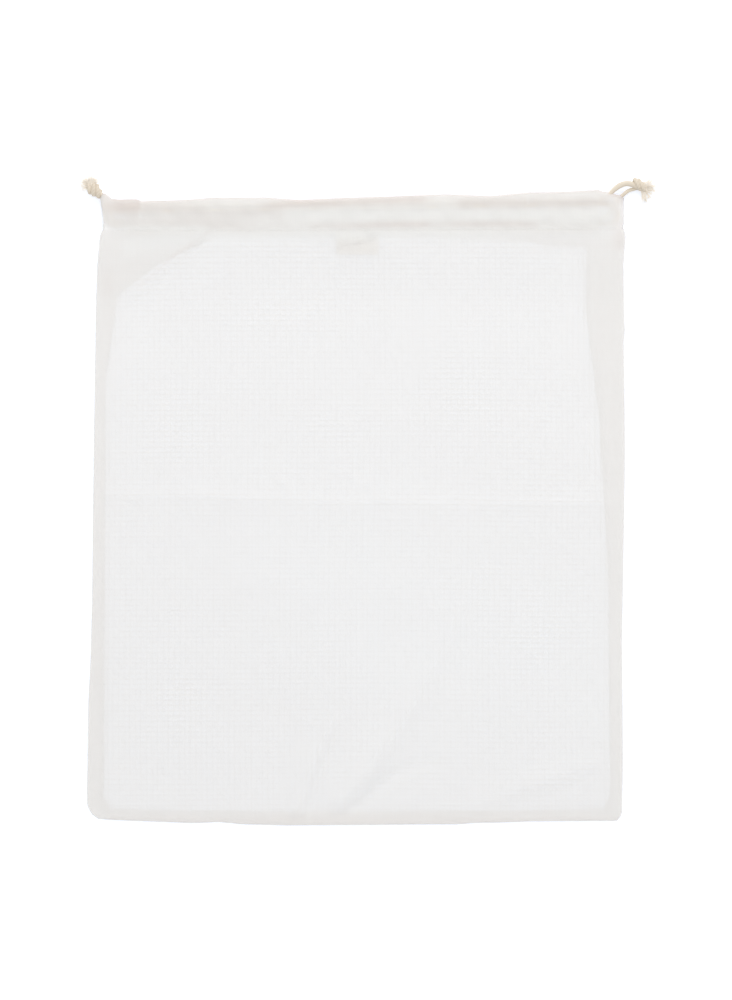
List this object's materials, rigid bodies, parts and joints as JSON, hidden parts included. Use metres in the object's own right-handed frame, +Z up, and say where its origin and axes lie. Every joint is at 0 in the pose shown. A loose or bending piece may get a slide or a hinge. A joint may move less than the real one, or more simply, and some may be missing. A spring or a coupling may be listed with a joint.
{
  "type": "cotton drawstring shopping bag",
  "caption": "Cotton drawstring shopping bag lying flat and empty, with a sheer plain front, a net back, a hemmed casing and knotted cords with frayed ends.",
  "frame": {"origin": "on the surface under the bag, at the centre of its bounding box", "axes": "+Y from the closed bottom to the mouth, +X to the bag's right as seen from the front, +Z up out of the front cloth"},
  "size_m": [0.3285, 0.3725, 0.0078],
  "materials": {
    "plain_cotton": "matte, sheer, plain weave",
    "cotton_net": "matte, open square net",
    "cotton_cord": "matte, plied, frayed at its ends",
    "cotton_tape": "matte, close weave"
  },
  "bodies": {
    "root": {"front_panel": "plain_cotton", "back_heading": "plain_cotton", "back_net": "cotton_net", "label": "cotton_tape", "drawcord_left": "cotton_cord", "drawcord_right": "cotton_cord", "knot_left": "cotton_cord", "knot_right": "cotton_cord"}
  },
  "joints": []
}
